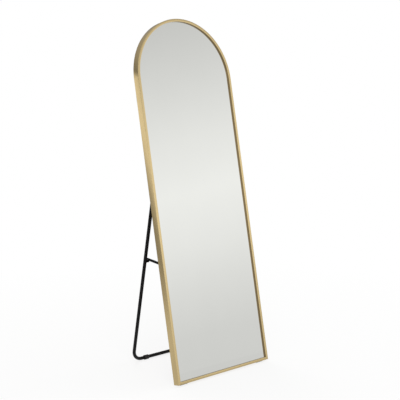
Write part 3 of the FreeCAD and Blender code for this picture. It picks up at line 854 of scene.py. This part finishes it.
# Tones of the floor as metal and glass reflect it, by metres behind the middle of the part
FLOOR_TONES = [
    (-0.65, 0.66), (-0.3, 0.57), (0.0, 0.55), (0.35, 0.6), (0.8, 0.53), (1.2, 0.41), (1.6, 0.36),
    (2.6, 0.33)]
# Where the floor starts to fade to white and where it is white, as shares of its radius
FADE_START, FADE_END = 0.15, 0.9
FLOOR_SIDES = 96
# Tones of the surround as metal and glass reflect it, by degrees above the horizon
FRONT_TONES = [
    (-30, 0.66), (-11, 0.66), (-3, 0.665), (1, 0.69), (4, 0.775), (7, 0.87), (10.5, 0.935),
    (14, 0.86), (18, 0.735), (22, 0.62), (30, 0.46), (45, 0.42), (75, 0.52)]
REAR_TONES = [
    (-30, 0.34), (-11, 0.25), (-7, 0.38), (-3.2, 0.95), (1.5, 0.80), (8, 0.20), (14, 0.26),
    (25, 0.36), (45, 0.42), (75, 0.52)]
# The direction of the front tones, and the cosines to it where they start and where they are full
FRONT_AIM = (0.3, -0.95, 0)
FRONT_FROM, FRONT_FULL = -0.1, 0.35
# The light on dull surfaces
PLAIN_LIGHT = 0.64
# Soft boxes: name, degrees to the right of the front, and watts; then what they share
LAMPS = (("key_box", -38, 70), ("fill_box", 75, 40), ("rear_box", 165, 50))
LAMP_AIM = Vector((0, 0, 0.8))
LAMP_ELEVATION = 42
LAMP_DISTANCE = 4.2
LAMP_SIZE = 2.2
# Width of the camera's sensor in millimetres
SENSOR_WIDTH = 36.0


def blend_shaders(tree, factor, first, second):
    """The first shader where a factor is 0, the second where it is 1."""
    values = {0: factor, 1: first.outputs[0], 2: second.outputs[0]}
    return add_node(tree, "ShaderNodeMixShader", values)


def glow(tree, kind, colour):
    """A shader that shows a colour as it is."""
    return add_node(tree, kind, {"Color": colour, "Strength": 1.0})


def floor_material(stage):
    """A pale floor that keeps the shadow and fades to white; metal and glass see soft tones."""
    material, tree, shader = new_material("pale_floor", roughness=0.9)
    shader.inputs["Base Color"].default_value = (*stage.floor_colour, 1)
    shader.inputs["Specular IOR Level"].default_value = 0.0
    place = object_place(tree)
    reach = add_node(tree, "ShaderNodeVectorMath", {0: place}, operation="LENGTH").outputs["Value"]
    outwards = math_node(tree, "DIVIDE", reach, stage.floor_radius)
    back = add_node(tree, "ShaderNodeSeparateXYZ", {0: place}).outputs["Y"]
    level = math_node(tree, "MULTIPLY_ADD", back, 0.5 / stage.floor_radius, 0.5)
    stops = [(0.5 + 0.5 * depth / stage.floor_radius, grey(tone)) for depth, tone in FLOOR_TONES]
    soft = glow(tree, "ShaderNodeEmission", ramp(tree, level, stops))
    white = glow(tree, "ShaderNodeEmission", WHITE)
    ray = add_node(tree, "ShaderNodeLightPath").outputs
    fade = spread(tree, outwards, stage.floor_lift, 1.0, FADE_START, FADE_END)
    lift = math_node(tree, "MULTIPLY", ray["Is Camera Ray"], fade)
    lifted = blend_shaders(tree, lift, shader, white)
    seen = blend_shaders(tree, ray["Is Glossy Ray"], lifted, soft)
    tree.links.new(seen.outputs[0], tree.nodes["Material Output"].inputs["Surface"])
    return material


def tones_by_height(tree, height, tones):
    """Grey tones of the surround by elevation in degrees."""
    level = spread(tree, height, low=0.0, high=1.0, from_low=-1.0, from_high=1.0)
    return ramp(tree, level, [
        (0.5 + 0.5 * math.sin(math.radians(angle)), grey(tone)) for angle, tone in tones])


def towards(tree, direction, aim, low, high):
    """How far a direction turns to an aim: 0 below the low cosine, 1 above the high one."""
    facing = add_node(
        tree, "ShaderNodeVectorMath", {0: direction, 1: aim}, operation="DOT_PRODUCT")
    values = {"Value": facing.outputs["Value"], "From Min": low, "From Max": high}
    eased = add_node(tree, "ShaderNodeMapRange", values, interpolation_type="SMOOTHSTEP")
    return eased.outputs["Result"]


def world_light():
    """A studio surround: white to the camera, and plain light on dull surfaces.

    Metal and glass reflect a pale backdrop in front of the mirror and a banded one behind it.
    """
    world = bpy.data.worlds.new("studio")
    bpy.context.scene.world = world
    world.use_nodes = True
    tree = world.node_tree
    tree.nodes.clear()
    direction = add_node(tree, "ShaderNodeTexCoord").outputs["Generated"]
    height = add_node(tree, "ShaderNodeSeparateXYZ", {0: direction}).outputs["Z"]
    front = tones_by_height(tree, height, FRONT_TONES)
    rear = tones_by_height(tree, height, REAR_TONES)
    frontwards = towards(tree, direction, FRONT_AIM, FRONT_FROM, FRONT_FULL)
    backdrop = blend_colours(tree, frontwards, rear, front)
    shown = glow(tree, "ShaderNodeBackground", backdrop)
    plain = glow(tree, "ShaderNodeBackground", (*grey(PLAIN_LIGHT), 1))
    white = glow(tree, "ShaderNodeBackground", WHITE)
    ray = add_node(tree, "ShaderNodeLightPath").outputs
    glossy = math_node(tree, "MAXIMUM", ray["Is Glossy Ray"], ray["Is Transmission Ray"])
    lit = blend_shaders(tree, glossy, plain, shown)
    seen = blend_shaders(tree, ray["Is Camera Ray"], lit, white)
    output = add_node(tree, "ShaderNodeOutputWorld")
    tree.links.new(seen.outputs[0], output.inputs["Surface"])


def outwards_at(turn, tilt):
    """A direction from the mirror: turned from the front to the right, and tilted up."""
    level = math.cos(tilt)
    return Vector((math.sin(turn) * level, -math.cos(turn) * level, math.sin(tilt)))


def add_lamp(name, azimuth, power):
    """A square soft box aimed at the mirror's middle; metal and glass do not reflect it."""
    away = outwards_at(math.radians(azimuth), math.radians(LAMP_ELEVATION))
    bpy.ops.object.light_add(type="AREA", location=LAMP_AIM + away * LAMP_DISTANCE)
    lamp = bpy.context.object
    lamp.name = name
    lamp.rotation_euler = away.to_track_quat("Z", "Y").to_euler()
    lamp.data.shape = "SQUARE"
    lamp.data.size = LAMP_SIZE
    lamp.data.energy = power
    lamp.visible_glossy = False


class MIRROR_OT_stage(bpy.types.Operator):
    """Set up the floor, the studio light and the camera"""

    bl_idname = "mirror.stage"
    bl_label = "Stage"

    def execute(self, context):
        stage = context.scene.mirror_stage
        deselect_all()
        bpy.ops.mesh.primitive_circle_add(
            vertices=FLOOR_SIDES, radius=stage.floor_radius, fill_type="NGON")
        floor = bpy.context.object
        floor.name = "studio_floor"
        floor.data.materials.append(floor_material(stage))
        world_light()
        for name, azimuth, power in LAMPS:
            add_lamp(name, azimuth, power)
        away = outwards_at(-stage.azimuth, stage.elevation)
        bpy.ops.object.camera_add(location=Vector(stage.target) + away * stage.distance)
        camera = bpy.context.object
        camera.name = "photo_camera"
        camera.rotation_euler = away.to_track_quat("Z", "Y").to_euler()
        camera.data.sensor_width = SENSOR_WIDTH
        camera.data.lens = stage.lens
        camera.data.dof.use_dof = False
        context.scene.camera = camera
        context.scene.view_settings.view_transform = "Standard"
        deselect_all()
        return {"FINISHED"}


STEPS = (
    MIRROR_OT_gold_frame,
    MIRROR_OT_pane,
    MIRROR_OT_stand,
    MIRROR_OT_stays,
    MIRROR_OT_rear_hardware,
    MIRROR_OT_fasteners,
    MIRROR_OT_feet,
    MIRROR_OT_stage,
)


class MIRROR_PT_sidebar(bpy.types.Panel):
    """Lists the mirror's pieces and its stage"""

    bl_idname = "MIRROR_PT_sidebar"
    bl_label = "Arched floor mirror"
    bl_space_type = "VIEW_3D"
    bl_region_type = "UI"
    bl_category = "Mirror"

    def draw(self, context):
        for step in STEPS:
            self.layout.operator(step.bl_idname)
        scene = context.scene
        for group in (scene.mirror_sizes, scene.mirror_colours, scene.mirror_stage):
            box = self.layout.box()
            for name in group.__annotations__:
                box.prop(group, name)


CLASSES = (MirrorSizes, MirrorColours, StageSettings) + STEPS + (MIRROR_PT_sidebar,)


def register():
    for cls in CLASSES:
        bpy.utils.register_class(cls)
    bpy.types.Scene.mirror_sizes = PointerProperty(type=MirrorSizes)
    bpy.types.Scene.mirror_colours = PointerProperty(type=MirrorColours)
    bpy.types.Scene.mirror_stage = PointerProperty(type=StageSettings)


def unregister():
    del bpy.types.Scene.mirror_stage
    del bpy.types.Scene.mirror_colours
    del bpy.types.Scene.mirror_sizes
    for cls in reversed(CLASSES):
        bpy.utils.unregister_class(cls)


def main():
    """Build the mirror and its stage."""
    register()
    bpy.ops.mirror.gold_frame()
    bpy.ops.mirror.pane()
    bpy.ops.mirror.stand()
    bpy.ops.mirror.stays()
    bpy.ops.mirror.rear_hardware()
    bpy.ops.mirror.fasteners()
    bpy.ops.mirror.feet()
    bpy.ops.mirror.stage()


if __name__ == "__main__":
    main()
